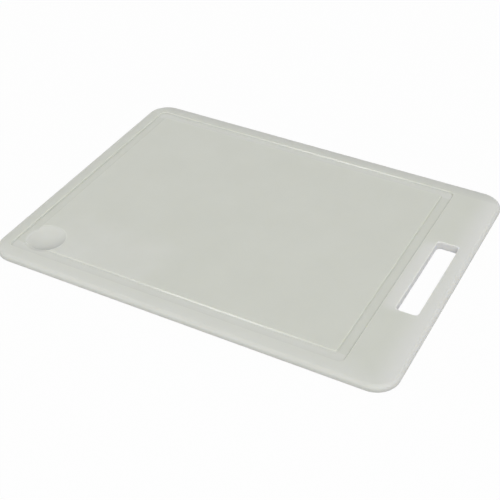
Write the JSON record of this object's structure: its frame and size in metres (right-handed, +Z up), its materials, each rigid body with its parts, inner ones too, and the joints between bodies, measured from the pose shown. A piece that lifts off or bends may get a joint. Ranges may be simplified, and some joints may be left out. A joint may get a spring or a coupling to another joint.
{
  "type": "cutting board",
  "caption": "One-piece natural polyethylene cutting board with rounded corners, a juice groove round the field, a round collecting well in one corner and a hand slot at one end.",
  "frame": {"origin": "under the middle of the board's outline, on the underside that it lies on", "axes": "+X along the long side towards the hand slot, +Y towards the far long side, +Z up out of the cutting face"},
  "size_m": [0.38, 0.29, 0.008],
  "materials": {
    "board_plastic": "moulded natural polyethylene, satin, slightly translucent"
  },
  "bodies": {
    "root": {"board": "board_plastic"}
  },
  "joints": []
}
